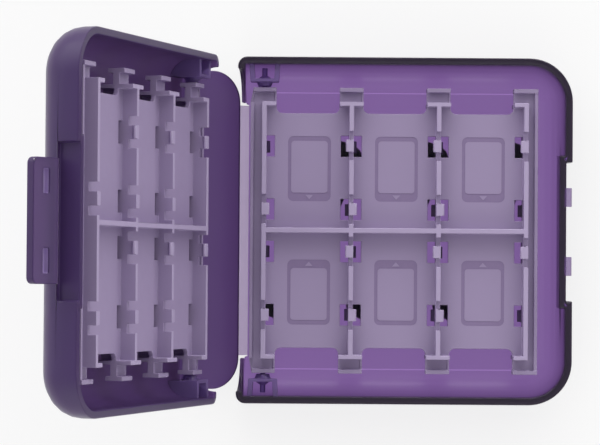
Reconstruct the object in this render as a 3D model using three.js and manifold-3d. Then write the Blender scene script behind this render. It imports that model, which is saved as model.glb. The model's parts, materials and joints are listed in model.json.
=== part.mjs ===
// Clamshell case for small game cards, with two double-sided trays that turn like pages.
// Millimetres, +Z up, origin at the centre of the base's bottom face. The base lies flat, and
// the lid stands open beside it on a spine panel between two living hinges, latch flap swung out.
// Every piece is described where it lies in the closed case, and groups turn it to the open pose.

import * as THREE from 'three';
import { mergeVertices } from 'three/addons/utils/BufferGeometryUtils.js';
import Module from 'manifold-3d';

const wasm = await Module();
wasm.setup();

// Card that the slots hold, and its room
const cardWidth = 21.2;
const cardLength = 31.1;
const cardThickness = 3.3;
const cardSideRoom = 0.15;
const cardEndRoom = 0.65;
const slotColumns = 3;

// Tray
const plateThickness = 1.2;
const ribThickness = 1.2;
const clipHeight = 0.6;
const stopThickness = 1.0;
const tabReach = 3.85;
const tabHalfWidth = 3.1;
const tabSlope = 0.75;
const tabFillet = 1.5;
const plateSetback = 1.75;
const lipThickness = 0.9;
const lipHalfHeight = 1.9;
const tabBarThickness = 1.1;
const tabBarHalfHeight = 2.2;
const tabBeadWidth = 0.5;
const tabBeadHeight = 0.25;
const hingeWing = 3.2;
const latchWing = 2.8;
const windowWidth = 2.1;
const windowLength = 5.5;
const innerClipY = 5.5;
const outerClipY = 22.0;
const clipLength = 3.3;
const clipNotch = 2.2;
const clipNotchDepth = 2.2;
const nubLength = 3.1;
const nubOverhang = 0.9;
const nubDepth = 1.3;
const nubEdge = 0.3;

// Card mark sunk in the tray floor
const markWidth = 11.2;
const markLength = 16.95;
const markCentre = 16.1;
const markSide = 0.85;
const markFarEnd = 1.2;
const markNearEnd = 2.2;
const markRadius = 1.4;
const markDepth = 0.1;
const markShift = 0.45;
const arrowWidth = 2.0;
const arrowHeight = 1.1;

// Tray pins and the brackets that hold them
const pinDiameter = 3.4;
const pinClearance = 0.3;
const pinNeck = 1.4;
const pinHeadDiameter = 4.4;
const pinHead = 0.6;
const pinStemDiameter = 1.4;
const pinStemRoom = 0.8;
const pinTipDiameter = 1.4;
const pinReach = 0.5;
const bracketBar = 0.8;
const bracketDepth = 4.5;
const bracketWidth = 8.4;
const bracketWall = 1.2;
const bracketFlare = 0.5;
const bracketRise = 3.6;

// Half shells
const panelThickness = 1.5;
const wall = 1.9;
const trayFloorRoom = 0.4;
const trayRimRoom = 0.35;
const trayHingeRoom = 3.25;
const trayLatchRoom = 5.35;
const hingeWall = 1.8;
const hingeDraft = 1.1;
const edgeRadius = 8;
const innerRadius = 6;
const cornerOverEdge = 0.5;
const latchCornerRadius = 11.3;
const hingeCornerRadius = 2.4;
const rimGap = 0.3;

// Spine and living hinges
const spineThickness = 1.5;
const spineEdgeRise = 1.1;
const spineEndRoom = 1.6;
const spineInset = 0.1;
const spineClearance = 0.35;
const hingeAxisSetback = 1.35;
const hingeAxisHeight = 2.0;
const webThickness = 0.4;
const webLength = 65.6;
const webRelief = 0.75;
const webReach = 1.45;
const pieceGap = 0.3;

// Latch
const recessDepth = 1.6;
const recessWall = 1.8;
const recessLength = 36;
const flapLength = 10.5;
const flapWidth = 28.4;
const flapThickness = 2.0;
const flapCornerRadius = 1.5;
const flapClearance = 0.25;
const flapHingeReach = 4.9;
const flapHingeInset = 0.3;
const ledgeRoom = 0.4;
const latchWebStart = 0.5;
const latchWebWidth = 0.6;
const catchSpacing = 17.9;
const catchLength = 4.9;
const catchHeight = 1.3;
const catchReach = 1.4;
const catchDrop = 0.1;
const pocketRoom = 0.4;
const pocketDepth = 1.5;

// Open pose, in degrees from the closed case
const spineOpen = 55;
const lidOpen = 54.5;
const flapOpen = 103;

// Facets on a quarter turn, and round a pin
const cornerSegments = 8;
const edgeSegments = 6;
const smallSegments = 3;
const markSegments = 2;
const pinSides = 24;

// How far a cut runs past what it cuts, and how close corners of a mesh count as one
const cutPast = 1;
const mergeDistance = 1e-4;

// Sizes that follow from these
const slotPitch = cardWidth + 2 * cardSideRoom + ribThickness;
const ribHeight = cardThickness + clipHeight;
const trayHalf = plateThickness / 2 + ribHeight;
const stopInner = ribThickness / 2 + cardLength + cardEndRoom;
const stopOuter = stopInner + stopThickness;
const trayEnd = stopOuter + tabReach;
const plateEnd = stopInner - plateSetback;
const trayLeft = -hingeWing - lipThickness / 2;
const lastRib = slotColumns * slotPitch;
const trayRight = lastRib + latchWing + lipThickness / 2;

const trayZ = panelThickness + trayFloorRoom + trayHalf;
const halfDepth = trayZ + trayHalf + trayRimRoom;
const rimZ = halfDepth - rimGap / 2;
const caseWidth = trayHingeRoom - trayLeft + trayRight + trayLatchRoom + recessWall + recessDepth;
const hingeX = -caseWidth / 2;
const latchX = caseWidth / 2;
const pivotX = hingeX + trayHingeRoom - trayLeft;
const barY = trayEnd + pinNeck;
const innerY = barY + bracketDepth;
const halfLength = innerY + wall;

const hingeAxisX = hingeX + hingeAxisSetback;
const hingeAxisZ = hingeAxisHeight;
const floorEdgeX = hingeAxisX + webReach;
const spineInnerX = hingeX + spineInset + spineThickness;
const spineMiddleX = spineInnerX - spineThickness / 2;
const spineEdgeZ = hingeAxisZ + spineEdgeRise;
const spineHeight = 2 * (halfDepth - spineEdgeZ);
const spineHalfLength = innerY - spineEndRoom;

const recessX = latchX - recessDepth;
const flapAxisX = latchX - flapHingeInset;
const flapAxisZ = halfDepth + flapHingeReach;
const flapInnerX = recessX + flapClearance;
const flapStart = latchWebStart + latchWebWidth + pieceGap;
const catchTop = rimZ - catchDrop;

// Materials
const shellPlastic = new THREE.MeshStandardMaterial({
  color: 0x6a4f90, roughness: 0.3, metalness: 0, transparent: true, opacity: 0.85,
});
const webPlastic = new THREE.MeshStandardMaterial({
  color: 0xa792bd, roughness: 0.35, metalness: 0, transparent: true, opacity: 0.8,
});
const trayPlastic = new THREE.MeshStandardMaterial({ color: 0x9686a8, roughness: 0.5, metalness: 0 });

// A closed geometry as a solid that can be joined and cut
function solidOf(geometry) {
  geometry.deleteAttribute('normal');
  geometry.deleteAttribute('uv');
  const merged = mergeVertices(geometry, mergeDistance);
  const vertProperties = new Float32Array(merged.attributes.position.array);
  const triVerts = new Uint32Array(merged.index.array);
  return new wasm.Manifold(new wasm.Mesh({ numProp: 3, vertProperties, triVerts }));
}

function joined(solids) {
  return solids.reduce((whole, next) => whole.add(next));
}

function box(x0, x1, y0, y1, z0, z1) {
  const geometry = new THREE.BoxGeometry(x1 - x0, y1 - y0, z1 - z0);
  geometry.translate((x0 + x1) / 2, (y0 + y1) / 2, (z0 + z1) / 2);
  return solidOf(geometry);
}

// Prisms: the outline is given in x and y, in x and z, or in y and z
function prismZ(shape, z0, z1, curveSegments = cornerSegments) {
  const geometry = new THREE.ExtrudeGeometry(shape, { depth: z1 - z0, bevelEnabled: false, curveSegments });
  geometry.translate(0, 0, z0);
  return solidOf(geometry);
}

function prismY(shape, y0, y1) {
  const geometry = new THREE.ExtrudeGeometry(shape, { depth: y1 - y0, bevelEnabled: false });
  geometry.rotateX(Math.PI / 2);
  geometry.translate(0, y1, 0);
  return solidOf(geometry);
}

function prismX(shape, x0, x1, curveSegments = cornerSegments) {
  const geometry = new THREE.ExtrudeGeometry(shape, { depth: x1 - x0, bevelEnabled: false, curveSegments });
  const across = new THREE.Vector3(0, 1, 0);
  const up = new THREE.Vector3(0, 0, 1);
  const along = new THREE.Vector3(1, 0, 0);
  geometry.applyMatrix4(new THREE.Matrix4().makeBasis(across, up, along));
  geometry.translate(x0, 0, 0);
  return solidOf(geometry);
}

function polygon(points) {
  return new THREE.Shape(points.map(([x, y]) => new THREE.Vector2(x, y)));
}

// A rectangle whose left and right corners have their own radii
function roundedRectangle(x0, x1, y0, y1, leftRadius, rightRadius) {
  const shape = new THREE.Shape();
  const quarter = Math.PI / 2;
  shape.moveTo(x0, y0 + leftRadius);
  shape.absarc(x0 + leftRadius, y0 + leftRadius, leftRadius, 2 * quarter, 3 * quarter);
  shape.absarc(x1 - rightRadius, y0 + rightRadius, rightRadius, 3 * quarter, 4 * quarter);
  shape.absarc(x1 - rightRadius, y1 - rightRadius, rightRadius, 0, quarter);
  shape.absarc(x0 + leftRadius, y1 - leftRadius, leftRadius, quarter, 2 * quarter);
  shape.closePath();
  return shape;
}

// A block with a rounded lower edge on three sides, open-ended past the hinge side and the rim
function pillow(inset, radius, floorZ) {
  const start = hingeX - radius - cutPast;
  const reach = halfLength - inset;
  const corner = Math.max(latchCornerRadius - inset, radius + cornerOverEdge);
  const outline = roundedRectangle(start, latchX - inset, -reach, reach, 0, corner);
  const geometry = new THREE.ExtrudeGeometry(outline, {
    depth: halfDepth,
    bevelThickness: radius,
    bevelSize: radius,
    bevelOffset: -radius,
    bevelSegments: edgeSegments,
    curveSegments: cornerSegments,
  });
  geometry.translate(0, 0, floorZ + radius);
  return solidOf(geometry);
}

// The room inside a half shell, shrunk by a gap
function cavity(gap) {
  const inset = wall + gap;
  const radius = innerRadius - gap;
  const room = pillow(inset, radius, panelThickness + gap);
  const side = halfLength - inset;
  return room.intersect(box(hingeX + hingeWall + gap, latchX, -side, side, 0, 2 * halfDepth));
}

function stadium(halfWidth, halfHeight, centreZ) {
  const low = centreZ - halfHeight;
  const high = centreZ + halfHeight;
  return roundedRectangle(-halfWidth, halfWidth, low, high, halfHeight, halfHeight);
}

// Half of the case, as it lies in the base: recessFloor is how low the latch recess reaches
function halfShell(recessFloor) {
  const plan = roundedRectangle(
    hingeX, latchX, -halfLength, halfLength, hingeCornerRadius, latchCornerRadius,
  );
  const profile = polygon([
    [hingeX + hingeDraft, -cutPast],
    [latchX + cutPast, -cutPast],
    [latchX + cutPast, rimZ],
    [hingeX, rimZ],
    [hingeX, halfDepth - spineClearance],
    [hingeX + hingeDraft, 0],
  ]);
  const outer = pillow(0, edgeRadius, 0)
    .intersect(prismZ(plan, -cutPast, 2 * halfDepth))
    .intersect(prismY(profile, -halfLength - cutPast, halfLength + cutPast));

  const recessHalf = recessLength / 2;
  const jogHalf = recessHalf + recessWall;
  const jogFloor = recessFloor - recessWall;
  const outside = latchX + cutPast;
  const jog = box(recessX - recessWall, outside, -jogHalf, jogHalf, jogFloor, 2 * halfDepth);
  const recess = box(recessX, outside, -recessHalf, recessHalf, recessFloor, 2 * halfDepth);

  const spineRoom = stadium(
    spineHalfLength + spineClearance, spineHeight / 2 + spineClearance, halfDepth,
  );
  const spineOpening = prismX(spineRoom, hingeX - cutPast, hingeX + hingeWall + cutPast);
  const wallInnerX = hingeX + hingeWall + pieceGap;
  const relief = webLength / 2 + webRelief;
  const wallOpening = box(hingeX - cutPast, wallInnerX, -relief, relief, -cutPast, spineEdgeZ);
  const beside = webLength / 2 + pieceGap;
  const floorOpening = box(hingeX - cutPast, floorEdgeX, -beside, beside, -cutPast, spineEdgeZ);

  return outer
    .subtract(cavity(0).subtract(jog))
    .subtract(recess)
    .subtract(spineOpening)
    .subtract(wallOpening)
    .subtract(floorOpening);
}

// U-shaped bracket on the end wall at +Y, with an eye for the tray's pin
function pivotBracket() {
  const back = halfLength;
  const near = bracketWidth / 2 - bracketFlare;
  const far = bracketWidth / 2;
  const top = trayZ + bracketRise;
  const outside = polygon([
    [pivotX - near, barY], [pivotX + near, barY], [pivotX + far, back], [pivotX - far, back],
  ]);
  const inside = polygon([
    [pivotX - near + bracketWall, barY + bracketBar],
    [pivotX + near - bracketWall, barY + bracketBar],
    [pivotX + far - bracketWall, back + bracketWall],
    [pivotX - far + bracketWall, back + bracketWall],
  ]);
  const eyeRadius = pinDiameter / 2 + pinClearance;
  const eye = new THREE.CylinderGeometry(eyeRadius, eyeRadius, bracketBar + 2 * cutPast, pinSides);
  eye.translate(pivotX, barY + bracketBar / 2, trayZ);
  return prismZ(outside, 0, top)
    .subtract(prismZ(inside, -cutPast, top + cutPast))
    .subtract(solidOf(eye))
    .intersect(cavity(pieceGap));
}

function spinePanel() {
  const outline = stadium(spineHalfLength, spineHeight / 2, halfDepth);
  return prismX(outline, spineInnerX - spineThickness, spineInnerX);
}

// Living hinge from the panel's edge to the spine's edge, where it is when the spine is turned
function spineWeb(degrees) {
  const axis = new THREE.Vector2(hingeAxisX, hingeAxisZ);
  const spineEdge = new THREE.Vector2(spineMiddleX, spineEdgeZ);
  spineEdge.rotateAround(axis, THREE.MathUtils.degToRad(degrees));
  const floorEdge = new THREE.Vector2(floorEdgeX, panelThickness / 2);
  const along = floorEdge.clone().sub(spineEdge).normalize();
  const across = new THREE.Vector2(-along.y, along.x).multiplyScalar(webThickness / 2);
  const start = spineEdge.clone().addScaledVector(along, pieceGap);
  const corners = [start.clone().sub(across), start.clone().add(across)];
  const ends = corners.map((corner) => {
    const run = (floorEdgeX - pieceGap - corner.x) / along.x;
    return corner.clone().addScaledVector(along, run);
  });
  const outline = new THREE.Shape([corners[0], ends[0], ends[1], corners[1]]);
  return prismY(outline, -webLength / 2, webLength / 2);
}

// Living hinge of the latch flap
function latchWeb() {
  const low = flapAxisZ - latchWebStart - latchWebWidth;
  const half = flapWidth / 2;
  return box(
    flapAxisX - webThickness / 2, flapAxisX + webThickness / 2, -half, half,
    low, low + latchWebWidth,
  );
}

function latchFlap() {
  const pocketHalf = catchLength / 2 + pocketRoom;
  const pocketLow = catchTop - catchHeight - pocketRoom;
  const pocketHigh = catchTop + pocketRoom;
  const freeEnd = flapAxisZ - flapLength;
  const outline = new THREE.Shape();
  const half = flapWidth / 2;
  const radius = flapCornerRadius;
  outline.moveTo(half, flapAxisZ - flapStart);
  outline.lineTo(-half, flapAxisZ - flapStart);
  outline.absarc(-half + radius, freeEnd + radius, radius, Math.PI, 1.5 * Math.PI);
  outline.absarc(half - radius, freeEnd + radius, radius, 1.5 * Math.PI, 2 * Math.PI);
  outline.closePath();
  const plate = prismX(outline, flapInnerX, flapInnerX + flapThickness, smallSegments);
  const pockets = [-1, 1].map((side) => {
    const middle = side * catchSpacing / 2;
    return box(
      flapInnerX - cutPast, flapInnerX + pocketDepth,
      middle - pocketHalf, middle + pocketHalf, pocketLow, pocketHigh,
    );
  });
  return plate.subtract(joined(pockets));
}

function catchTab(side) {
  const middle = side * catchSpacing / 2;
  return box(
    recessX, recessX + catchReach,
    middle - catchLength / 2, middle + catchLength / 2, catchTop - catchHeight, catchTop,
  );
}

// Upper edge of the tray floor from the hinge side to the latch side, tabs at every rib
function trayEdge() {
  const points = [[trayLeft, stopOuter], [trayLeft + tabSlope, trayEnd]];
  const fillet = (centreX, from, to) => {
    for (let step = 0; step <= smallSegments; step += 1) {
      const angle = from + (to - from) * step / smallSegments;
      points.push([
        centreX + tabFillet * Math.cos(angle),
        plateEnd + tabFillet + tabFillet * Math.sin(angle),
      ]);
    }
  };
  for (let rib = 0; rib <= slotColumns; rib += 1) {
    const x = rib * slotPitch;
    if (rib > 0) {
      fillet(x - tabHalfWidth - tabFillet, -Math.PI / 2, 0);
      points.push([x - tabHalfWidth, trayEnd]);
    }
    if (rib < slotColumns) {
      points.push([x + tabHalfWidth, trayEnd]);
      fillet(x + tabHalfWidth + tabFillet, Math.PI, 1.5 * Math.PI);
    }
  }
  points.push([trayRight, trayEnd]);
  return points;
}

// Low bead along a tab's side, between two points of its edge
function tabBead(near, far) {
  const reach = plateThickness / 2 + tabBeadHeight;
  const outline = [near, [near[0] - tabBeadWidth, near[1]], [far[0] - tabBeadWidth, far[1]], far];
  if (far[1] < near[1]) outline.reverse();
  return prismZ(polygon(outline), -reach, reach);
}

// Snap nub on a rib's side: side is -1 or 1 along x, face is 1 on the front and -1 on the back
function nub(ribX, side, y, face) {
  const root = ribX + side * ribThickness / 4;
  const tip = ribX + side * (ribThickness / 2 + nubOverhang);
  const top = face * trayHalf;
  const outline = [
    [root, top],
    [tip - side * nubEdge, top],
    [tip, top - face * nubEdge],
    [tip, top - face * 2 * nubEdge],
    [root, top - face * nubDepth],
  ];
  if (side * face > 0) outline.reverse();
  return prismY(polygon(outline), y - nubLength / 2, y + nubLength / 2);
}

// Sunk outline of a card with an arrow that points to the centre rib
function cardMark(slotX, row) {
  const far = row * (markCentre + markLength / 2);
  const near = row * (markCentre - markLength / 2);
  const low = Math.min(far, near);
  const high = Math.max(far, near);
  const lowBorder = row > 0 ? markNearEnd : markFarEnd;
  const highBorder = row > 0 ? markFarEnd : markNearEnd;
  const half = markWidth / 2;
  const frame = roundedRectangle(slotX - half, slotX + half, low, high, markRadius, markRadius);
  frame.holes.push(roundedRectangle(
    slotX - half + markSide, slotX + half - markSide, low + lowBorder, high - highBorder,
    markSide, markSide,
  ));
  const arrowTip = near + row * (markNearEnd - arrowHeight) / 2;
  frame.holes.push(polygon([
    [slotX, arrowTip],
    [slotX + arrowWidth / 2, arrowTip + row * arrowHeight],
    [slotX - arrowWidth / 2, arrowTip + row * arrowHeight],
  ]));
  const surface = plateThickness / 2;
  return prismZ(frame, surface - markDepth, surface + cutPast, markSegments);
}

// Double-sided tray, with its pivot on the Y axis and its middle plane at z = 0
function tray() {
  const edge = trayEdge();
  const mirrored = edge.map(([x, y]) => [x, -y]);
  const floor = prismZ(polygon([...mirrored, ...edge.reverse()]), -plateThickness / 2, plateThickness / 2);
  const added = [];
  const cut = [];
  const halfRib = ribThickness / 2;
  added.push(box(0, lastRib, -halfRib, halfRib, -trayHalf, trayHalf));
  added.push(box(trayLeft, trayLeft + lipThickness, -stopOuter, stopOuter, -lipHalfHeight, lipHalfHeight));
  added.push(box(trayRight - lipThickness, trayRight, -trayEnd, trayEnd, -lipHalfHeight, lipHalfHeight));

  for (let rib = 0; rib <= slotColumns; rib += 1) {
    const x = rib * slotPitch;
    const first = rib === 0;
    const last = rib === slotColumns;
    const stopLeft = first ? x - halfRib : x - tabHalfWidth;
    const stopRight = last ? x + halfRib : x + tabHalfWidth;
    const barLeft = first ? trayLeft + tabSlope : x - tabHalfWidth;
    const barRight = last ? trayRight : x + tabHalfWidth;
    added.push(box(x - halfRib, x + halfRib, -stopOuter, stopOuter, -trayHalf, trayHalf));
    for (const row of [-1, 1]) {
      const [stopLow, stopHigh] = [row * stopInner, row * stopOuter].sort((a, b) => a - b);
      const [barLow, barHigh] = [row * (trayEnd - tabBarThickness), row * trayEnd].sort((a, b) => a - b);
      added.push(box(stopLeft, stopRight, stopLow, stopHigh, -trayHalf, trayHalf));
      added.push(box(barLeft, barRight, barLow, barHigh, -tabBarHalfHeight, tabBarHalfHeight));
      if (!last) added.push(tabBead([barRight, row * stopInner], [barRight, row * trayEnd]));
      if (first) {
        added.push(tabBead(
          [trayLeft + tabBeadWidth, row * stopOuter], [barLeft + tabBeadWidth, row * trayEnd],
        ));
        cut.push(pinBore(row));
      }
    }
  }

  for (let rib = 0; rib <= slotColumns; rib += 1) {
    const x = rib * slotPitch;
    for (const y of [outerClipY, innerClipY, -innerClipY, -outerClipY]) {
      const upperClip = y === outerClipY || y === -innerClipY;
      const frontSide = upperClip ? -1 : 1;
      for (const face of [-1, 1]) {
        const side = face * frontSide;
        const neighbour = rib + side;
        if (neighbour < 0 || neighbour > slotColumns) continue;
        added.push(nub(x, side, y, face));
        const [windowLow, windowHigh] = [x + side * halfRib, x + side * (halfRib + windowWidth)]
          .sort((a, b) => a - b);
        cut.push(box(
          windowLow, windowHigh, y - windowLength / 2, y + windowLength / 2, -plateThickness, plateThickness,
        ));
        const notchFloor = face * (trayHalf - clipNotchDepth);
        const notchTop = face * (trayHalf + cutPast);
        for (const end of [-1, 1]) {
          const notchY = y + end * (clipLength + clipNotch) / 2;
          cut.push(box(
            x - ribThickness, x + ribThickness, notchY - clipNotch / 2, notchY + clipNotch / 2,
            Math.min(notchFloor, notchTop), Math.max(notchFloor, notchTop),
          ));
        }
      }
    }
  }

  for (let column = 0; column < slotColumns; column += 1) {
    for (const row of [-1, 1]) cut.push(cardMark((column + 0.5) * slotPitch + markShift, row));
  }
  return joined([floor, ...added]).subtract(joined(cut));
}

// Bore for a pin's tip in the bar at an end of the tray
function pinBore(row) {
  const radius = pinTipDiameter / 2 + pinClearance;
  const depth = pinReach + pieceGap;
  const bore = new THREE.CylinderGeometry(radius, radius, depth + cutPast, pinSides);
  bore.translate(0, row * (trayEnd + (cutPast - depth) / 2), 0);
  return solidOf(bore);
}

// Pin at the +Y end: tip in the tray's bore, shaft through the bracket's eye, head and thin stem
function trayPin() {
  const tip = pinTipDiameter / 2;
  const shaft = pinDiameter / 2;
  const head = pinHeadDiameter / 2;
  const stem = pinStemDiameter / 2;
  const shaftStart = trayEnd + pieceGap;
  const headStart = barY + bracketBar + pieceGap;
  const profile = [
    [0, trayEnd - pinReach],
    [tip, trayEnd - pinReach],
    [tip, shaftStart],
    [shaft, shaftStart],
    [shaft, headStart],
    [head, headStart],
    [stem, headStart + pinHead],
    [stem, innerY - pinStemRoom],
    [0, innerY - pinStemRoom],
  ].map(([radius, y]) => new THREE.Vector2(radius, y));
  const geometry = new THREE.LatheGeometry(profile, pinSides);
  geometry.translate(pivotX, 0, trayZ);
  return solidOf(geometry);
}

function addMesh(parent, name, solid, material) {
  const { vertProperties, triVerts } = solid.getMesh();
  const geometry = new THREE.BufferGeometry();
  geometry.setAttribute('position', new THREE.BufferAttribute(new Float32Array(vertProperties), 3));
  geometry.setIndex(new THREE.BufferAttribute(new Uint32Array(triVerts), 1));
  geometry.computeVertexNormals();
  const mesh = new THREE.Mesh(geometry, material);
  mesh.name = name;
  parent.add(mesh);
  return mesh;
}

// A group turned about the Y axis through (x, z), whose children keep closed-case places
function turnedGroup(parent, x, z, degrees) {
  const turn = new THREE.Group();
  turn.position.set(x, 0, z);
  turn.rotation.y = THREE.MathUtils.degToRad(degrees);
  const closed = new THREE.Group();
  closed.position.set(-x, 0, -z);
  turn.add(closed);
  parent.add(turn);
  return closed;
}

function mirroredInY(solid) {
  const { vertProperties, triVerts } = solid.getMesh();
  const position = new Float32Array(vertProperties);
  for (let i = 1; i < position.length; i += 3) position[i] = -position[i];
  const index = new Uint32Array(triVerts);
  for (let i = 0; i < index.length; i += 3) [index[i], index[i + 1]] = [index[i + 1], index[i]];
  return new wasm.Manifold(new wasm.Mesh({ numProp: 3, vertProperties: position, triVerts: index }));
}

// Brackets and pins at the +Y end and the -Y end of a half
function addPivots(parent, half, ends) {
  const [near, far] = ends;
  addMesh(parent, `${half}_pivot_bracket_${near}`, pivotBracket(), shellPlastic);
  addMesh(parent, `${half}_pivot_bracket_${far}`, mirroredInY(pivotBracket()), shellPlastic);
  addMesh(parent, `${half}_tray_pin_${near}`, trayPin(), shellPlastic);
  addMesh(parent, `${half}_tray_pin_${far}`, mirroredInY(trayPin()), shellPlastic);
}

function addTray(parent, half, z) {
  const mesh = addMesh(parent, `${half}_tray`, tray(), trayPlastic);
  mesh.position.set(pivotX, 0, z);
}

const gameCardCase = new THREE.Group();

const base = new THREE.Group();
gameCardCase.add(base);
addMesh(base, 'base_shell', halfShell(0), shellPlastic);
addPivots(base, 'base', ['upper', 'lower']);
addMesh(base, 'catch_tab_upper', catchTab(1), shellPlastic);
addMesh(base, 'catch_tab_lower', catchTab(-1), shellPlastic);
addMesh(base, 'base_hinge_web', spineWeb(spineOpen), webPlastic);
addTray(base, 'base', trayZ);

const spine = turnedGroup(gameCardCase, hingeAxisX, hingeAxisZ, -spineOpen);
addMesh(spine, 'spine_panel', spinePanel(), shellPlastic);

const lidAxisZ = 2 * halfDepth - hingeAxisZ;
const lid = turnedGroup(spine, hingeAxisX, lidAxisZ, -lidOpen);
const lidHalf = new THREE.Group();
lidHalf.rotation.x = Math.PI;
lidHalf.position.z = 2 * halfDepth;
lid.add(lidHalf);
addMesh(lidHalf, 'lid_shell', halfShell(halfDepth - flapHingeReach - ledgeRoom), shellPlastic);
addPivots(lidHalf, 'lid', ['lower', 'upper']);
addMesh(lidHalf, 'lid_hinge_web', spineWeb(lidOpen), webPlastic);
addTray(lid, 'lid', 2 * halfDepth - trayZ);

const latch = turnedGroup(lid, flapAxisX, flapAxisZ, -flapOpen);
addMesh(latch, 'latch_flap', latchFlap(), shellPlastic);
addMesh(latch, 'latch_hinge_web', latchWeb(), webPlastic);

export default gameCardCase;
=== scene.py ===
"""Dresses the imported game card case: see-through shells, satin trays, a plain print and a stage.

Metres throughout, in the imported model's frame: the base lies on z = 0, +X runs from the spine to
the latch, and +Y runs along the hinge lines. Pieces that stand for solids start as clean copies.
"""

import json
import math

import bpy
from bpy.props import FloatProperty, FloatVectorProperty, PointerProperty
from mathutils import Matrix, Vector


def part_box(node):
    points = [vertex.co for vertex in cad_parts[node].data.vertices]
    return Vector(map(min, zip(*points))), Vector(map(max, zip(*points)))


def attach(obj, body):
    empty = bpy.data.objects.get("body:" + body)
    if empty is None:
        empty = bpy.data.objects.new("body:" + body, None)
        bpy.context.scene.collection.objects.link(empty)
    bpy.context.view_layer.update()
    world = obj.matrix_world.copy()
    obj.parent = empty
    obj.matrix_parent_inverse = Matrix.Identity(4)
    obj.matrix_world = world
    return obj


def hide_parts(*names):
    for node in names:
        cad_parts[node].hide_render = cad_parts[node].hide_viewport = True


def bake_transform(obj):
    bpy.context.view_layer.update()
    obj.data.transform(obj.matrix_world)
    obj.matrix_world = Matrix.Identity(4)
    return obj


bl_info = {
    "name": "Game Card Case",
    "version": (1, 0, 0),
    "blender": (4, 5, 0),
    "location": "View3D > Sidebar > Card Case",
    "description": "Dresses a hinged game card case with translucent shells and satin trays",
    "category": "Object",
}

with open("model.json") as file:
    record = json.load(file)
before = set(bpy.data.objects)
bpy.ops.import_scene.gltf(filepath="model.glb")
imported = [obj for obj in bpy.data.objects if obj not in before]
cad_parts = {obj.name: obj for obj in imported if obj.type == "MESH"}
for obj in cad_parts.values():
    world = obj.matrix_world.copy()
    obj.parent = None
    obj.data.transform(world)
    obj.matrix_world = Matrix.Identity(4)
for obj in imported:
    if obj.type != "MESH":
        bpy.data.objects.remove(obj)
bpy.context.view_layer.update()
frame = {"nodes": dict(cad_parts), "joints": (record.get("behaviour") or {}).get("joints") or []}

MM = 0.001
PHOTO_WIDTH = 600
SENSOR_WIDTH = 36.0

# Mesh work that all pieces share
MERGE_DISTANCE = 1e-6
SLIVER_WIDTH = 5e-6
FLAT_ANGLE = math.radians(0.5)
ROUNDED_ANGLE = math.radians(40)
SMOOTH_ANGLE = math.radians(50)
FLAT_WEIGHT = 80
LEVEL = 0.9999
EDGE_STEPS = 2

# Creases in the base's floor, and the groove in its rim
FLOOR_TOP = 1.5 * MM
CREASE_PLACE = 36.3 * MM
CREASE_SHORTER = 8 * MM
CREASE_WIDTH = 0.35 * MM
CREASE_DEPTH = 0.6 * MM
RIM_FACING = 0.999
RIM_NEAR = 0.05 * MM
GROOVE_INSET = 0.15 * MM
GROOVE_SLOPE = 0.35 * MM

# Brackets, pins and tabs in what carries them
SEAT_REACH = 0.5 * MM
SEAT_DEPTH = 0.4 * MM

# Hinge webs
SECTION_DIGITS = 7
STRIP_STEPS = 10
STRIP_OVERLAP = 0.45 * MM
FLAP_OVERLAP = 0.3 * MM
FLAP_PULL = 0.6 * MM
LEDGE_START = 0.4 * MM
LEDGE_PULL = 0.3 * MM

# Pockets of the flap and rib tops of the trays, both given a painted highlight, and card outlines of
# the trays
OUTLINE_INSET = 0.8 * MM
SIDE_INSET = 0.2 * MM
MARK_LEVEL = 0.5 * MM
MARK_NEAR = 0.02 * MM
MARK_FACING = 0.99
# Band below each top of a tray that takes the rib tops' painted highlight
RIB_HIGHLIGHT_BAND = 0.13 * MM

# Print, floor and sky
BAR_COUNT = 3
BAR_CORNER_STEPS = 6
PRINT_LEVEL = 0.08 * MM
PRINT_THICKNESS = 0.03 * MM
FLOOR_DROP = 0.05 * MM
SKY_SIDE_BELOW = 0.4
SKY_TOP_ABOVE = 0.88

# Plastics
# Base and lid are one plastic; their clearness differs as painted light for the different light each
# half gets.
CLEARNESS = {"base": 0.97, "lid": 0.68}
PLASTIC_IOR = 1.42
GRAIN_DEPTH = 0.05 * MM
RIB_SHADE = 0.92
MARK_SHADE = 0.9


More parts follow.
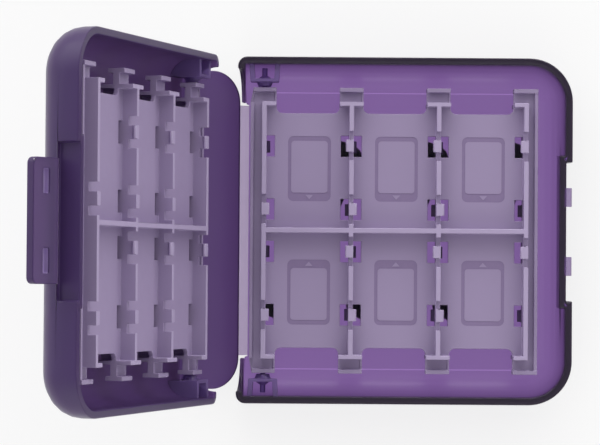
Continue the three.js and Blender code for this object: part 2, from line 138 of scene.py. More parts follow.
class CardCaseFinish(bpy.types.PropertyGroup):
    """Colours of the case, and sizes of its print, edges and webs"""

    # The base and the lid, spine and flap are one plastic. Their tint, density and surface are set
    # apart as painted light, the lid's darker as painted shade for the shadow that lies behind it.
    base_tint: FloatVectorProperty(
        name="Base tint",
        description="Colour that the base's plastic lets through",
        subtype="COLOR", min=0, max=1, default=(0.23, 0.106, 0.29),
    )
    lid_tint: FloatVectorProperty(
        name="Lid tint",
        description="Colour that the plastic of the lid, spine and flap lets through",
        subtype="COLOR", min=0, max=1, default=(0.50, 0.365, 0.02),
    )
    base_density: FloatProperty(
        name="Base density",
        description="How fast the base's plastic darkens with depth, per metre",
        min=0, default=1000,
    )
    lid_density: FloatProperty(
        name="Lid density",
        description="How fast the plastic of the lid, spine and flap darkens with depth, per metre",
        min=0, default=260,
    )
    base_surface: FloatVectorProperty(
        name="Base surface",
        description="Colour of the base plastic's own surface",
        subtype="COLOR", min=0, max=1, default=(0.70, 0.45, 1.0),
    )
    lid_surface: FloatVectorProperty(
        name="Lid surface",
        description="Colour of the own surface of the lid, spine and flap",
        subtype="COLOR", min=0, max=1, default=(0.145, 0.077, 0.285),
    )
    bracket_colour: FloatVectorProperty(
        name="Brackets",
        description="Colour of the pivot brackets and their pins",
        subtype="COLOR", min=0, max=1, default=(0.32, 0.21, 0.52),
    )
    tab_colour: FloatVectorProperty(
        name="Catch tabs",
        description="Colour of the catch tabs",
        subtype="COLOR", min=0, max=1, default=(0.40, 0.305, 0.52),
    )
    web_colour: FloatVectorProperty(
        name="Hinge webs",
        description="Colour of the thin webs",
        subtype="COLOR", min=0, max=1, default=(0.68, 0.56, 0.79),
    )
    # The pockets' pale colour is partly their frosted finish and partly a painted highlight for the
    # light on their up-facing walls.
    frost_and_highlight_colour: FloatVectorProperty(
        name="Flap pockets",
        description="Colour of the latch flap's matt pockets",
        subtype="COLOR", min=0, max=1, default=(0.55, 0.43, 0.72),
    )
    tray_colour: FloatVectorProperty(
        name="Tray",
        description="Colour of the trays",
        subtype="COLOR", min=0, max=1, default=(0.37, 0.295, 0.47),
    )
    tray_shade: FloatVectorProperty(
        name="Tray shade",
        description="Second colour that clouds the trays faintly",
        subtype="COLOR", min=0, max=1, default=(0.335, 0.265, 0.43),
    )
    # The rib tops' paler colour is a painted highlight for the light that they catch.
    rib_highlight_colour: FloatVectorProperty(
        name="Rib tops",
        description="Colour of the trays' rib tops, which the cards rub pale",
        subtype="COLOR", min=0, max=1, default=(0.45, 0.37, 0.56),
    )
    mark_colour: FloatVectorProperty(
        name="Card marks",
        description="Colour of the sunk card outlines in the trays",
        subtype="COLOR", min=0, max=1, default=(0.27, 0.20, 0.36),
    )
    print_dark: FloatVectorProperty(
        name="Print, dark",
        description="Darker colour of the print's ink",
        subtype="COLOR", min=0, max=1, default=(0.02, 0.010, 0.03),
    )
    print_light: FloatVectorProperty(
        name="Print, light",
        description="Lighter colour of the print's ink",
        subtype="COLOR", min=0, max=1, default=(0.04, 0.018, 0.06),
    )
    bar_width: FloatProperty(
        name="Print bar width",
        description="Width of a bar of the print",
        subtype="DISTANCE", unit="LENGTH", min=0, default=9 * MM,
    )
    bar_length: FloatProperty(
        name="Print bar length",
        description="Length of a bar of the print",
        subtype="DISTANCE", unit="LENGTH", min=0, default=50 * MM,
    )
    bar_start: FloatProperty(
        name="Print start",
        description="Middle of the first bar from the tray's hinge side",
        subtype="DISTANCE", unit="LENGTH", min=0, default=16 * MM,
    )
    bar_pitch: FloatProperty(
        name="Print pitch",
        description="Step from bar to bar",
        subtype="DISTANCE", unit="LENGTH", min=0, default=22.7 * MM,
    )
    bar_slant: FloatProperty(
        name="Print slant",
        description="Slant of the bars from the hinge lines",
        subtype="ANGLE", unit="ROTATION", default=math.radians(-24),
    )
    shell_edge: FloatProperty(
        name="Shell edge",
        description="Rounding of the shells' edges",
        subtype="DISTANCE", unit="LENGTH", min=0, default=0.3 * MM,
    )
    tray_edge: FloatProperty(
        name="Tray edge",
        description="Rounding of the trays' edges",
        subtype="DISTANCE", unit="LENGTH", min=0, default=0.12 * MM,
    )
    rim_groove: FloatProperty(
        name="Rim groove",
        description="Depth of the groove along the base's rim",
        subtype="DISTANCE", unit="LENGTH", min=0, default=0.12 * MM,
    )
    web_thickness: FloatProperty(
        name="Hinge web",
        description="Thickness of the living hinges",
        subtype="DISTANCE", unit="LENGTH", min=0, default=0.4 * MM,
    )


class CardCaseStage(bpy.types.PropertyGroup):
    """Floor, light and camera"""

    floor_colour: FloatVectorProperty(
        name="Floor",
        description="Colour of the floor",
        subtype="COLOR", min=0, max=1, default=(0.95, 0.95, 0.95),
    )
    floor_size: FloatProperty(
        name="Floor size",
        description="Side of the square floor",
        subtype="DISTANCE", unit="LENGTH", min=0, default=4.0,
    )
    floor_glow: FloatProperty(
        name="Floor glow",
        description="Share of plain white in the floor as the camera sees it, over its shadows",
        subtype="FACTOR", min=0, max=1, default=0.75,
    )
    floor_gleam: FloatProperty(
        name="Floor gleam",
        description="Share of plain white in the floor as reflections see it, over its shadows",
        subtype="FACTOR", min=0, max=1, default=0.8,
    )
    sky_top: FloatProperty(
        name="Sky overhead",
        description="Brightness of the sky straight above",
        min=0, default=0.45,
    )
    sky_side: FloatProperty(
        name="Sky at the sides",
        description="Brightness of the sky lower down",
        min=0, default=2.05,
    )
    light_side: FloatVectorProperty(
        name="Light side",
        description="Towards which side, and by how much, the sky is brighter",
        subtype="DIRECTION", default=(-0.12, 0.4, 0),
    )
    light_balance: FloatVectorProperty(
        name="Light balance",
        description="How much brighter the sky is at both ends of each axis",
        subtype="XYZ", default=(-0.75, 0.35, 0),
    )
    camera_place: FloatVectorProperty(
        name="Camera place",
        description="Where the camera stands",
        subtype="TRANSLATION", unit="LENGTH", default=(-27.9 * MM, -12.5 * MM, 655.8 * MM),
    )
    camera_turn: FloatVectorProperty(
        name="Camera turn",
        description="How far the camera is turned from looking straight down",
        subtype="EULER", unit="ROTATION",
        default=(math.radians(1.283), math.radians(-0.075), math.radians(0.407)),
    )
    focal_pixels: FloatProperty(
        name="Focal length",
        description="Focal length of the camera in pixels of the picture",
        min=1, default=2487.7,
    )


def select_only(piece):
    """Make one piece the only selected object, and the active one."""
    bpy.ops.object.select_all(action="DESELECT")
    piece.select_set(True)
    bpy.context.view_layer.objects.active = piece


def edit_whole(piece):
    """Enter edit mode with the whole of one piece selected."""
    select_only(piece)
    bpy.ops.object.mode_set(mode="EDIT")
    bpy.ops.mesh.select_all(action="SELECT")


def make_flats_whole():
    """In edit mode, join the selected parts of each flat face, as far as it stays convex."""
    bpy.ops.mesh.dissolve_limited(angle_limit=FLAT_ANGLE)
    bpy.ops.mesh.vert_connect_concave()


def clean_copy(node, name):
    """Copy a solid with its loose triangles merged and its flat faces made whole."""
    piece = bpy.data.objects.new(name, frame["nodes"][node].data.copy())
    bpy.context.scene.collection.objects.link(piece)
    piece.data.materials.clear()
    edit_whole(piece)
    bpy.ops.mesh.remove_doubles(threshold=MERGE_DISTANCE)
    make_flats_whole()
    bpy.ops.object.mode_set(mode="OBJECT")
    return piece


def joint_named(name):
    """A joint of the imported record."""
    return next(joint for joint in frame["joints"] if joint["name"] == name)


def rim_way(half):
    """The way that a half's rim faces: up on the base, and towards the base on the lid."""
    if half == "base":
        return Vector((0, 0, 1))
    closed = joint_named("base_hinge")["range_deg"][0] + joint_named("lid_hinge")["range_deg"][0]
    return Vector((-math.sin(math.radians(closed)), 0, -math.cos(math.radians(closed))))


def select_parts(piece, kind, chosen):
    """Enter edit mode with only the chosen edges or faces selected."""
    mesh = piece.data
    for parts in (mesh.vertices, mesh.edges, mesh.polygons):
        parts.foreach_set("select", [False] * len(parts))
    for part in chosen:
        part.select = True
    select_only(piece)
    bpy.context.tool_settings.mesh_select_mode = (False, kind == "EDGE", kind == "FACE")
    bpy.ops.object.mode_set(mode="EDIT")


def round_edges(piece, width, plain=()):
    """Round the sharp edges of a piece, but for those between two plain corners."""
    select_parts(piece, "EDGE", [])
    bpy.ops.mesh.edges_select_sharp(sharpness=ROUNDED_ANGLE)
    bpy.ops.object.mode_set(mode="OBJECT")
    sharp = [
        edge for edge in piece.data.edges
        if edge.select and not all(corner in plain for corner in edge.vertices)
    ]
    select_parts(piece, "EDGE", sharp)
    bpy.ops.mesh.bevel(
        offset=width, segments=EDGE_STEPS, clamp_overlap=False, miter_outer="ARC",
        face_strength_mode="ALL",
    )
    bpy.ops.mesh.select_all(action="SELECT")
    bpy.ops.mesh.dissolve_degenerate(threshold=SLIVER_WIDTH)
    make_flats_whole()
    bpy.ops.object.mode_set(mode="OBJECT")


def groove_rim(piece, way):
    """Sink a shallow groove along the flat top of a rim."""
    finish = bpy.context.scene.card_case_finish
    top = max(corner.co.dot(way) for corner in piece.data.vertices)
    rim = [
        face for face in piece.data.polygons
        if face.normal.dot(way) > RIM_FACING and top - face.center.dot(way) < RIM_NEAR
    ]
    select_parts(piece, "FACE", rim)
    bpy.ops.mesh.inset(thickness=GROOVE_INSET, depth=0)
    bpy.ops.mesh.inset(thickness=GROOVE_SLOPE, depth=-finish.rim_groove)
    bpy.ops.object.mode_set(mode="OBJECT")


def seat(piece, carrier):
    """Sink the side of a piece that faces its carrier into it."""
    for corner in piece.data.vertices:
        found, place, _, _ = carrier.closest_point_on_mesh(corner.co, distance=SEAT_REACH)
        if found:
            corner.co = place - SEAT_DEPTH * (corner.co - place).normalized()


def combine(piece, other, operation):
    """Join another closed shape to a piece, or cut it out of the piece."""
    select_only(piece)
    bpy.ops.object.modifier_add(type="BOOLEAN")
    boolean = piece.modifiers[-1]
    boolean.operation = operation
    boolean.solver = "MANIFOLD"
    boolean.object = other
    bpy.ops.object.modifier_apply(modifier=boolean.name)
    bpy.data.objects.remove(other)


def smooth(piece):
    """Shade a piece smooth, but for its sharp edges, with its flat faces kept flat."""
    select_only(piece)
    bpy.ops.object.shade_smooth_by_angle(angle=SMOOTH_ANGLE)
    bpy.ops.object.modifier_add(type="WEIGHTED_NORMAL")
    flat = piece.modifiers[-1]
    flat.keep_sharp = True
    flat.use_face_influence = True
    flat.weight = FLAT_WEIGHT
    bpy.ops.object.modifier_apply(modifier=flat.name)


def smooth_flat(piece, ways):
    """Shade a piece smooth, but its faces that are level along one of the ways flat."""
    select_only(piece)
    bpy.ops.object.shade_smooth_by_angle(angle=SMOOTH_ANGLE)
    level = [
        face for face in piece.data.polygons
        if any(abs(face.normal.dot(way)) > LEVEL for way in ways)
    ]
    select_parts(piece, "FACE", level)
    bpy.ops.mesh.faces_shade_flat()
    bpy.ops.object.mode_set(mode="OBJECT")


def place_piece(piece, body, nodes, material):
    """Give a finished piece its material, its body and the solids that it stands for."""
    # A cut or a join leaves an empty material slot behind.
    piece.data.materials.clear()
    piece.data.materials.append(material)
    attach(piece, body)
    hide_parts(*nodes)


def new_material(name):
    """A node material with its node tree and its Principled shader."""
    material = bpy.data.materials.new(name)
    material.use_nodes = True
    return material, material.node_tree, material.node_tree.nodes["Principled BSDF"]


def calculation(tree, kind, operation, *values):
    """A maths node of a tree, with its inputs linked to sockets or set to plain values."""
    step = tree.nodes.new(kind)
    step.operation = operation
    for socket, value in zip(step.inputs, values):
        if isinstance(value, bpy.types.NodeSocket):
            tree.links.new(value, socket)
        else:
            socket.default_value = value
    return step


def noise_node(tree, scale, detail=3):
    """Noise on a piece's own coordinates."""
    place = tree.nodes.new("ShaderNodeTexCoord")
    noise = tree.nodes.new("ShaderNodeTexNoise")
    noise.inputs["Scale"].default_value = scale
    noise.inputs["Detail"].default_value = detail
    tree.links.new(place.outputs["Object"], noise.inputs["Vector"])
    return noise


def add_sheen(tree, shader, low, high, scale, detail=3):
    """Let the roughness wander between two values."""
    haze = noise_node(tree, scale, detail)
    ranged = tree.nodes.new("ShaderNodeMapRange")
    ranged.inputs["To Min"].default_value = low
    ranged.inputs["To Max"].default_value = high
    tree.links.new(haze.outputs["Fac"], ranged.inputs["Value"])
    tree.links.new(ranged.outputs["Result"], shader.inputs["Roughness"])


def add_grain(tree, shader, strength, scale):
    """Fine moulded texture as a bump."""
    grain = noise_node(tree, scale, detail=2)
    bump = tree.nodes.new("ShaderNodeBump")
    bump.inputs["Strength"].default_value = strength
    bump.inputs["Distance"].default_value = GRAIN_DEPTH
    tree.links.new(grain.outputs["Fac"], bump.inputs["Height"])
    tree.links.new(bump.outputs["Normal"], shader.inputs["Normal"])


def add_clouds(tree, shader, first, second, scale):
    """Colour a shader by two colours that cloud into each other."""
    clouds = noise_node(tree, scale)
    blend = tree.nodes.new("ShaderNodeMix")
    blend.data_type = "RGBA"
    blend.inputs["A"].default_value = (*first, 1)
    blend.inputs["B"].default_value = (*second, 1)
    tree.links.new(clouds.outputs["Fac"], blend.inputs["Factor"])
    tree.links.new(blend.outputs["Result"], shader.inputs["Base Color"])


def clear_plastic(name, colour, clearness):
    """See-through plastic, with which the finishes of the case's own moulding start."""
    material, tree, shader = new_material(name)
    shader.inputs["Base Color"].default_value = (*colour, 1)
    shader.inputs["Transmission Weight"].default_value = clearness
    shader.inputs["IOR"].default_value = PLASTIC_IOR
    return material, tree, shader


def shell_plastic(part):
    """Tinted see-through plastic that darkens with depth: of the base, or of the lid. The two are one
    plastic, with their copies set apart as painted light, the lid's darker as painted shade.
    """
    finish = bpy.context.scene.card_case_finish
    surface = getattr(finish, f"{part}_surface")
    material, tree, shader = clear_plastic(f"{part}_plastic", surface, CLEARNESS[part])
    shader.inputs["Specular IOR Level"].default_value = 0.28
    add_sheen(tree, shader, low=0.28, high=0.38, scale=300)
    add_grain(tree, shader, strength=0.04, scale=2500)
    depth = tree.nodes.new("ShaderNodeVolumeAbsorption")
    depth.inputs["Color"].default_value = (*getattr(finish, f"{part}_tint"), 1)
    depth.inputs["Density"].default_value = getattr(finish, f"{part}_density")
    tree.links.new(depth.outputs["Volume"], tree.nodes["Material Output"].inputs["Volume"])
    return material


def web_plastic():
    """The shell's plastic, paler and less clear, for the thin webs."""
    finish = bpy.context.scene.card_case_finish
    material, tree, shader = clear_plastic("web_plastic", finish.web_colour, clearness=0.7)
    add_sheen(tree, shader, low=0.3, high=0.45, scale=500)
    add_grain(tree, shader, strength=0.1, scale=1800)
    return material


def milky_plastic(part):
    """The shell's plastic where thick and thin walls meet, milky: of a bracket, or of a tab."""
    colour = getattr(bpy.context.scene.card_case_finish, f"{part}_colour")
    material, tree, shader = clear_plastic(f"{part}_plastic", colour, clearness=0.6)
    add_sheen(tree, shader, low=0.3, high=0.42, scale=600)
    add_grain(tree, shader, strength=0.06, scale=2500)
    return material


def frosted_highlight_plastic():
    """The shell's plastic in the flap's pockets, matt, and pale partly for its frosting and partly as a
    painted highlight.
    """
    finish = bpy.context.scene.card_case_finish
    material, tree, shader = clear_plastic("frosted_highlight_plastic", finish.frost_and_highlight_colour, clearness=0.4)
    add_sheen(tree, shader, low=0.5, high=0.65, scale=900, detail=2)
    return material


def tray_plastic():
    """Opaque satin plastic, faintly clouded."""
    finish = bpy.context.scene.card_case_finish
    material, tree, shader = new_material("tray_plastic")
    add_clouds(tree, shader, finish.tray_colour, finish.tray_shade, scale=45)
    add_sheen(tree, shader, low=0.4, high=0.55, scale=400)
    add_grain(tree, shader, strength=0.12, scale=2200)
    return material


def rib_highlight_plastic():
    """The tray's plastic on its rib tops, a little smoother, and paler as a painted highlight."""
    colour = bpy.context.scene.card_case_finish.rib_highlight_colour
    material, tree, shader = new_material("rib_highlight_plastic")
    add_clouds(tree, shader, colour, [RIB_SHADE * channel for channel in colour], scale=300)
    add_sheen(tree, shader, low=0.35, high=0.5, scale=800)
    add_grain(tree, shader, strength=0.08, scale=2200)
    return material


def mark_plastic():
    """The tray's plastic where the mould is etched, darker and duller."""
    colour = bpy.context.scene.card_case_finish.mark_colour
    material, tree, shader = new_material("mark_plastic")
    add_clouds(tree, shader, colour, [MARK_SHADE * channel for channel in colour], scale=900)
    shader.inputs["Roughness"].default_value = 0.7
    add_grain(tree, shader, strength=0.3, scale=3500)
    return material


def print_ink():
    """Dark ink, a little uneven."""
    finish = bpy.context.scene.card_case_finish
    material, tree, shader = new_material("print_ink")
    add_clouds(tree, shader, finish.print_dark, finish.print_light, scale=120)
    shader.inputs["Roughness"].default_value = 0.6
    return material


def strip_ends(node, place):
    """The middles of a flat strip's two narrow sides, in x and z, the one nearer to a place first."""
    corners = {
        (round(corner.co.x, SECTION_DIGITS), round(corner.co.z, SECTION_DIGITS))
        for corner in frame["nodes"][node].data.vertices
    }
    first, *others = [Vector((x, 0, z)) for x, z in sorted(corners)]
    others.sort(key=lambda corner: (corner - first).length)
    ends = ((first + others[0]) / 2, (others[1] + others[2]) / 2)
    return sorted(ends, key=lambda end: (end - place).length)


def flap_line():
    """The flap's axis, the two ends of its web, and the way from the axis along the flap."""
    axis = Vector(joint_named("latch_hinge")["pos_m"])
    root, tip = strip_ends("latch_hinge_web", axis)
    return axis, root, tip, (tip - root).normalized()


def hinge_strip(hinge, start, start_pull, end, end_pull):
    """A thin bent web between two edges, drawn as a curve in x and z and pulled along y."""
    finish = bpy.context.scene.card_case_finish
    low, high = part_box(f"{hinge}_web")
    bpy.ops.object.select_all(action="DESELECT")
    bpy.ops.curve.primitive_bezier_curve_add(rotation=(math.pi / 2, 0, 0))
    strip = bpy.context.object
    strip.name = f"{hinge}_strip"
    strip.data.dimensions = "2D"
    strip.data.fill_mode = "NONE"
    strip.data.resolution_u = STRIP_STEPS
    strip.data.extrude = (high.y - low.y) / 2
    ends = ((start, start_pull), (end, end_pull))
    for point, (place, pull) in zip(strip.data.splines[0].bezier_points, ends):
        point.handle_left_type = "FREE"
        point.handle_right_type = "FREE"
        point.co = (place.x, place.z, 0)
        point.handle_left = (place.x - pull.x, place.z - pull.z, 0)
        point.handle_right = (place.x + pull.x, place.z + pull.z, 0)
    bpy.ops.object.convert(target="MESH")
    strip = bpy.context.object
    bpy.ops.object.transform_apply(location=True, rotation=True, scale=True)
    bpy.ops.object.modifier_add(type="SOLIDIFY")
    wall = strip.modifiers[-1]
    wall.thickness = finish.web_thickness
    wall.offset = 0
    bpy.ops.object.modifier_apply(modifier=wall.name)
    edit_whole(strip)
    bpy.ops.mesh.normals_make_consistent(inside=False)
    bpy.ops.object.mode_set(mode="OBJECT")
    smooth(strip)
    return strip


def place_strip(strip, node, material):
    """Give a web its material, set it in place in the world, and hide the solid that it stands for."""
    strip.data.materials.append(material)
    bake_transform(strip)
    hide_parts(node)


class AddShells(bpy.types.Operator):
    """Make the two half shells"""

    bl_idname = "card_case.add_shells"
    bl_label = "Shells"

    def execute(self, context):
        edge = context.scene.card_case_finish.shell_edge
        for half in ("base", "lid"):
            node = f"{half}_shell"
            piece = clean_copy(node, f"{node}_moulding")
            round_edges(piece, edge)
            if half == "base":
                groove_rim(piece, rim_way(half))
                for side in (-1, 1):
                    self.cut_crease(piece, side)
            smooth(piece)
            place_piece(piece, half, [node], shell_plastic(half))
        return {"FINISHED"}

    def cut_crease(self, piece, side):
        """Cut a fine line into the base's floor, past the ends of the slots."""
        low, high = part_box("base_tray")
        bpy.ops.object.select_all(action="DESELECT")
        bpy.ops.mesh.primitive_cube_add(size=1, location=(0, side * CREASE_PLACE, FLOOR_TOP))
        crease = bpy.context.object
        crease.dimensions = (high.x - low.x - CREASE_SHORTER, CREASE_WIDTH, 2 * CREASE_DEPTH)
        bpy.ops.object.transform_apply(location=True, rotation=True, scale=True)
        combine(piece, crease, "DIFFERENCE")


class AddBrackets(bpy.types.Operator):
    """Make the pivot brackets, each with its pin, and the catch tabs"""

    bl_idname = "card_case.add_brackets"
    bl_label = "Brackets and catch tabs"

    def execute(self, context):
        edge = context.scene.card_case_finish.shell_edge / 2
        bracket = milky_plastic("bracket")
        tab = milky_plastic("tab")
        for half in ("base", "lid"):
            for end in ("upper", "lower"):
                nodes = [f"{half}_pivot_bracket_{end}", f"{half}_tray_pin_{end}"]
                piece = self.seated(nodes[0], half, edge)
                pin = clean_copy(nodes[1], f"{nodes[1]}_part")
                round_edges(pin, edge / 2)
                seat(pin, piece)
                combine(piece, pin, "UNION")
                smooth(piece)
                place_piece(piece, half, nodes, bracket)
        for node in ("catch_tab_upper", "catch_tab_lower"):
            piece = self.seated(node, "base", edge)
            smooth(piece)
            place_piece(piece, "base", [node], tab)
        return {"FINISHED"}

    def seated(self, node, half, edge):
        """A rounded copy of a solid, sunk into the shell that carries it."""
        piece = clean_copy(node, f"{node}_moulding")
        round_edges(piece, edge)
        seat(piece, bpy.data.objects[f"{half}_shell_moulding"])
        return piece


class AddSpineAndFlap(bpy.types.Operator):
    """Make the spine panel and the latch flap"""

    bl_idname = "card_case.add_spine_and_flap"
    bl_label = "Spine and latch flap"

    def execute(self, context):
        edge = context.scene.card_case_finish.shell_edge
        for node, body in (("spine_panel", "spine"), ("latch_flap", "latch")):
            piece = clean_copy(node, f"{node}_moulding")
            round_edges(piece, edge)
            smooth(piece)
            place_piece(piece, body, [node], bpy.data.materials["lid_plastic"])
            if body == "latch":
                self.frost_and_highlight_pockets(piece)
        return {"FINISHED"}

    def frost_and_highlight_pockets(self, piece):
        """Give the pockets, which lie inside the flap's outline and its two sides, a matt finish,
        painted pale partly as a painted highlight.
        """
        _, _, _, along = flap_line()
        across = Vector((0, 1, 0))
        through = along.cross(across)
        spans = []
        for way, inset in ((along, OUTLINE_INSET), (across, OUTLINE_INSET), (through, SIDE_INSET)):
            places = [corner.co.dot(way) for corner in piece.data.vertices]
            spans.append((way, min(places) + inset, max(places) - inset))
        piece.data.materials.append(frosted_highlight_plastic())
        for face in piece.data.polygons:
            if all(low < face.center.dot(way) < high for way, low, high in spans):
                face.material_index = 1


class AddHingeWebs(bpy.types.Operator):
    """Make the thin webs that bend along the spine and at the latch flap"""

    bl_idname = "card_case.add_hinge_webs"
    bl_label = "Hinge webs"

    def execute(self, context):
        web = web_plastic()
        spine_low, spine_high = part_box("spine_panel")
        middle = (spine_low + spine_high) / 2
        middle.y = 0
        for hinge, panel in (("base_hinge", "base"), ("lid_hinge", "lid")):
            node = f"{hinge}_web"
            spine_end, panel_end = strip_ends(node, middle)
            along = (spine_end - panel_end).normalized()
            start = panel_end - along * STRIP_OVERLAP
            end = spine_end + along * STRIP_OVERLAP
            pull = (end - start) / 3
            strip = hinge_strip(hinge, start, pull, end, pull)
            place_strip(strip, node, web)
        self.add_latch_web(web)
        return {"FINISHED"}

    def add_latch_web(self, web):
        """The latch web leaves the lid's ledge and bends round the flap's axis."""
        hinge = "latch_hinge"
        axis, root, tip, flap_way = flap_line()
        ledge_way = -rim_way("lid")
        start = axis + ledge_way * LEDGE_START
        end = tip + flap_way * FLAP_OVERLAP
        strip = hinge_strip(hinge, start, -ledge_way * LEDGE_PULL, end, flap_way * FLAP_PULL)
        place_strip(strip, f"{hinge}_web", web)


class AddTrays(bpy.types.Operator):
    """Make the two slotted trays"""

    bl_idname = "card_case.add_trays"
    bl_label = "Trays"

    def execute(self, context):
        edge = context.scene.card_case_finish.tray_edge
        plain = tray_plastic()
        mark = mark_plastic()
        rib = rib_highlight_plastic()
        for half, facing in (("base", 1), ("lid", -1)):
            tray = f"{half}_tray"
            front = facing * rim_way(half)
            floor = Vector(joint_named(f"{tray}_pivot")["pos_m"]).dot(front) + MARK_LEVEL
            piece = clean_copy(tray, f"{tray}_moulding")
            round_edges(piece, edge, self.mark_corners(piece, front, floor))
            across = Vector((0, 1, 0))
            smooth_flat(piece, (front, across, front.cross(across)))
            place_piece(piece, tray, [tray], plain)
            piece.data.materials.append(mark)
            piece.data.materials.append(rib)
            self.tone_faces(piece, front, floor)
        return {"FINISHED"}

    def tone_faces(self, piece, front, floor):
        """Darken the sunk card outlines, and make the rib tops of both sides paler as a painted
        highlight.
        """
        levels = [corner.co.dot(front) for corner in piece.data.vertices]
        low, high = min(levels) + RIB_HIGHLIGHT_BAND, max(levels) - RIB_HIGHLIGHT_BAND
        for face in piece.data.polygons:
            level = face.center.dot(front)
            if face.normal.dot(front) > MARK_FACING and abs(level - floor) < MARK_NEAR:
                face.material_index = 1
            # Faces near the top of either side take the rib tops' painted highlight.
            elif level < low or level > high:
                face.material_index = 2

    def mark_corners(self, piece, front, floor):
        """The corners of the sunk card outlines, at the floor and at the edge."""
        mesh = piece.data
        sunk = {
            corner.index for corner in mesh.vertices if abs(corner.co.dot(front) - floor) < MARK_NEAR
        }
        edges = [set(edge.vertices) for edge in mesh.edges]
        return sunk.union(*[ends for ends in edges if ends & sunk])


class AddPrint(bpy.types.Operator):
    """Make the print, a row of slanting bars just inside the base's outer face"""

    bl_idname = "card_case.add_print"
    bl_label = "Print"

    def execute(self, context):
        finish = context.scene.card_case_finish
        low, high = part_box("base_tray")
        middle = (low + high) / 2
        bars = []
        for number in range(BAR_COUNT):
            bpy.ops.object.select_all(action="DESELECT")
            bpy.ops.mesh.primitive_plane_add(size=1)
            bar = context.object
            bar.dimensions = (finish.bar_width, finish.bar_length, 0)
            place = low.x + finish.bar_start + number * finish.bar_pitch
            bar.location = (place, middle.y, PRINT_LEVEL)
            bar.rotation_euler.z = finish.bar_slant
            bpy.ops.object.transform_apply(location=True, rotation=True, scale=True)
            edit_whole(bar)
            corner = finish.bar_width / 3
            bpy.ops.mesh.bevel(offset=corner, segments=BAR_CORNER_STEPS, affect="VERTICES")
            bpy.ops.object.mode_set(mode="OBJECT")
            bars.append(bar)
        for bar in bars:
            bar.select_set(True)
        bpy.ops.object.join()
        sheet = context.object
        sheet.name = "base_print"
        bpy.ops.object.modifier_add(type="SOLIDIFY")
        film = sheet.modifiers[-1]
        film.thickness = PRINT_THICKNESS
        film.offset = 0
        bpy.ops.object.modifier_apply(modifier=film.name)
        sheet.data.materials.append(print_ink())
        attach(sheet, "base")
        return {"FINISHED"}


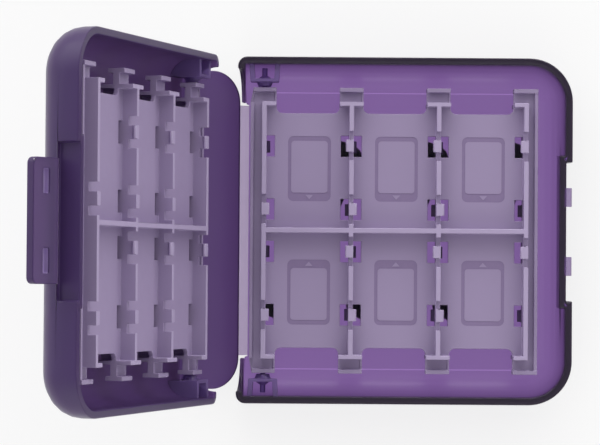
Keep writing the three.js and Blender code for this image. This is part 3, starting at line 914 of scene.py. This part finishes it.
class AddStage(bpy.types.Operator):
    """Make the floor, the sky and the camera"""

    bl_idname = "card_case.add_stage"
    bl_label = "Stage"

    def execute(self, context):
        stage = context.scene.card_case_stage
        self.add_floor(stage)
        self.add_sky(context.scene, stage)
        self.add_camera(context.scene, stage)
        context.scene.view_settings.view_transform = "Standard"
        return {"FINISHED"}

    def add_floor(self, stage):
        """A plain pale floor."""
        bpy.ops.object.select_all(action="DESELECT")
        bpy.ops.mesh.primitive_plane_add(size=stage.floor_size, location=(0, 0, -FLOOR_DROP))
        floor = bpy.context.object
        floor.name = "floor"
        material, tree, shader = new_material("floor_paper")
        shader.inputs["Base Color"].default_value = (*stage.floor_colour, 1)
        shader.inputs["Roughness"].default_value = 0.9
        shader.inputs["Specular IOR Level"].default_value = 0.0
        ray = tree.nodes.new("ShaderNodeLightPath").outputs
        seen = calculation(
            tree, "ShaderNodeMath", "MULTIPLY_ADD",
            ray["Is Glossy Ray"], stage.floor_gleam, ray["Is Transmission Ray"],
        )
        share = calculation(
            tree, "ShaderNodeMath", "MULTIPLY_ADD",
            ray["Is Camera Ray"], stage.floor_glow, seen.outputs["Value"],
        )
        white = tree.nodes.new("ShaderNodeEmission")
        paper = tree.nodes.new("ShaderNodeMixShader")
        tree.links.new(share.outputs["Value"], paper.inputs["Fac"])
        tree.links.new(shader.outputs["BSDF"], paper.inputs[1])
        tree.links.new(white.outputs["Emission"], paper.inputs[2])
        tree.links.new(paper.outputs["Shader"], tree.nodes["Material Output"].inputs["Surface"])
        floor.data.materials.append(material)

    def add_sky(self, scene, stage):
        """A soft studio sky, dim straight above, where the camera is, and brighter to one side."""
        world = bpy.data.worlds.new("studio_sky")
        scene.world = world
        world.use_nodes = True
        tree = world.node_tree
        way = tree.nodes.new("ShaderNodeTexCoord").outputs["Generated"]
        height = tree.nodes.new("ShaderNodeSeparateXYZ")
        tree.links.new(way, height.inputs["Vector"])
        ring = tree.nodes.new("ShaderNodeMapRange")
        ring.interpolation_type = "SMOOTHSTEP"
        ring.inputs["From Min"].default_value = SKY_SIDE_BELOW
        ring.inputs["From Max"].default_value = SKY_TOP_ABOVE
        ring.inputs["To Min"].default_value = stage.sky_side
        ring.inputs["To Max"].default_value = stage.sky_top
        tree.links.new(height.outputs["Z"], ring.inputs["Value"])
        bright = ring.outputs["Result"]
        towards = calculation(tree, "ShaderNodeVectorMath", "DOT_PRODUCT", way, stage.light_side)
        squared = calculation(tree, "ShaderNodeVectorMath", "MULTIPLY", way, way)
        balance = calculation(
            tree, "ShaderNodeVectorMath", "DOT_PRODUCT", squared.outputs["Vector"], stage.light_balance,
        )
        share = calculation(
            tree, "ShaderNodeMath", "ADD", towards.outputs["Value"], balance.outputs["Value"],
        )
        sided = calculation(
            tree, "ShaderNodeMath", "MULTIPLY_ADD", bright, share.outputs["Value"], bright,
        )
        background = tree.nodes["Background"]
        background.inputs["Color"].default_value = (1, 1, 1, 1)
        tree.links.new(sided.outputs["Value"], background.inputs["Strength"])

    def add_camera(self, scene, stage):
        """A camera above the case, as the photograph was taken."""
        lens = bpy.data.cameras.new("camera")
        lens.sensor_width = SENSOR_WIDTH
        lens.lens = stage.focal_pixels * SENSOR_WIDTH / PHOTO_WIDTH
        camera = bpy.data.objects.new("camera", lens)
        camera.location = stage.camera_place
        camera.rotation_euler = stage.camera_turn
        scene.collection.objects.link(camera)
        scene.camera = camera


class CardCasePanel(bpy.types.Panel):
    """Lists what the case is made of"""

    bl_idname = "VIEW3D_PT_card_case"
    bl_label = "Card Case"
    bl_space_type = "VIEW_3D"
    bl_region_type = "UI"
    bl_category = "Card Case"

    def draw(self, context):
        for operator in OPERATORS:
            self.layout.operator(operator.bl_idname)
        for settings in (context.scene.card_case_finish, context.scene.card_case_stage):
            for name in settings.__annotations__:
                self.layout.prop(settings, name)


OPERATORS = (AddShells, AddBrackets, AddSpineAndFlap, AddHingeWebs, AddTrays, AddPrint, AddStage)
CLASSES = (CardCaseFinish, CardCaseStage, *OPERATORS, CardCasePanel)


def register():
    for each in CLASSES:
        bpy.utils.register_class(each)
    bpy.types.Scene.card_case_finish = PointerProperty(type=CardCaseFinish)
    bpy.types.Scene.card_case_stage = PointerProperty(type=CardCaseStage)


def unregister():
    del bpy.types.Scene.card_case_stage
    del bpy.types.Scene.card_case_finish
    for each in reversed(CLASSES):
        bpy.utils.unregister_class(each)


def main():
    register()
    bpy.ops.card_case.add_shells()
    bpy.ops.card_case.add_brackets()
    bpy.ops.card_case.add_spine_and_flap()
    bpy.ops.card_case.add_hinge_webs()
    bpy.ops.card_case.add_trays()
    bpy.ops.card_case.add_print()
    bpy.ops.card_case.add_stage()


if __name__ == "__main__":
    main()
